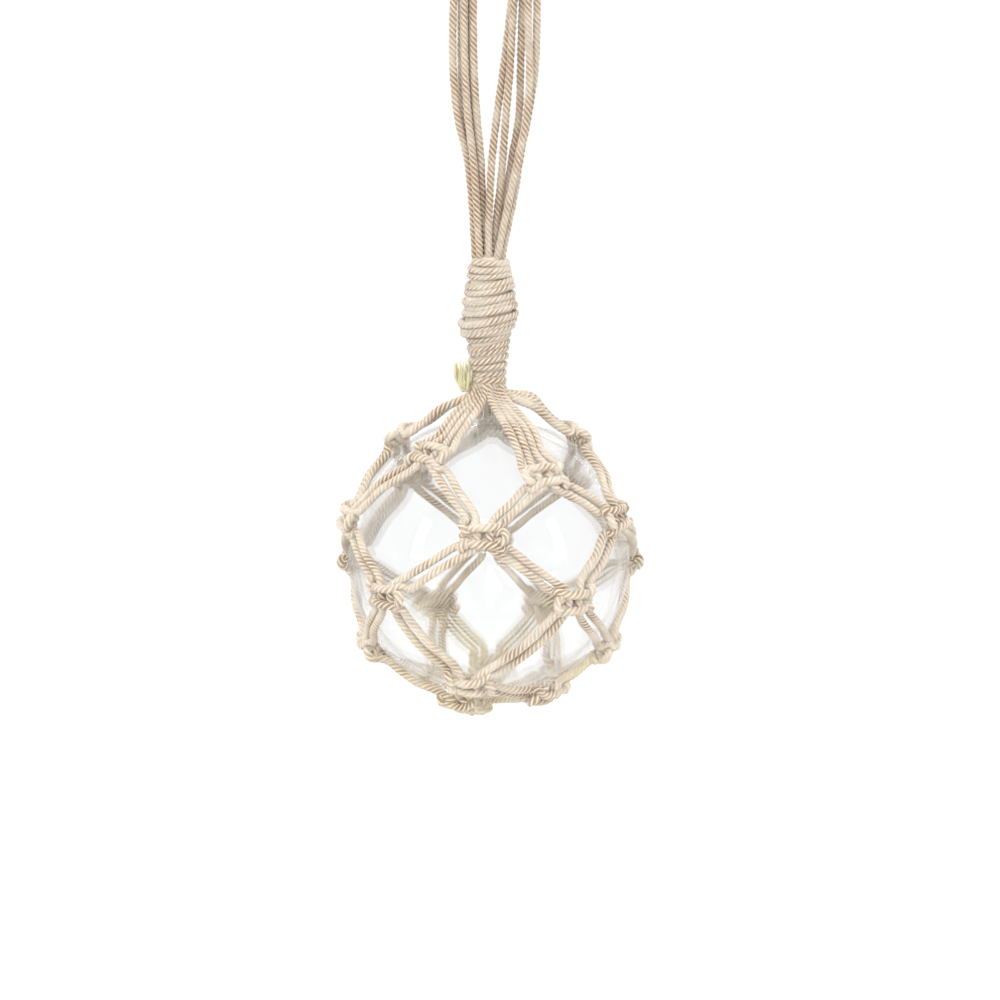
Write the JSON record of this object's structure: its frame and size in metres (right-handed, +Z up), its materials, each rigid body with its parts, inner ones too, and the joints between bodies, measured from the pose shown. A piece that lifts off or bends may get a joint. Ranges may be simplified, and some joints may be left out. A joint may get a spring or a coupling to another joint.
{
  "type": "glass float ball",
  "caption": "Clear glass float ball in a knotted cotton rope net, with a cord-wrapped neck and a bundle of cord loops to hang it by.",
  "frame": {"origin": "where a hook or nail carries the loops: the middle of the underside of their crown", "axes": "+Z up along the hanging cords, -Y towards the viewer of the picture, +X to the viewer's right"},
  "size_m": [0.1078, 0.1081, 0.2907],
  "materials": {
    "glass": "clear, smooth",
    "net_cord": "twisted cotton cord, matt, yellowed in places",
    "whipping_cord": "twisted cotton cord, matt",
    "loop_cord": "twisted cotton cord, matt"
  },
  "bodies": {
    "root": {"glass_ball": "glass", "rope_net": "net_cord", "neck_whipping": "whipping_cord", "hanging_loop_1": "loop_cord", "hanging_loop_2": "loop_cord", "hanging_loop_3": "loop_cord", "hanging_loop_4": "loop_cord", "hanging_loop_5": "loop_cord"}
  },
  "joints": []
}
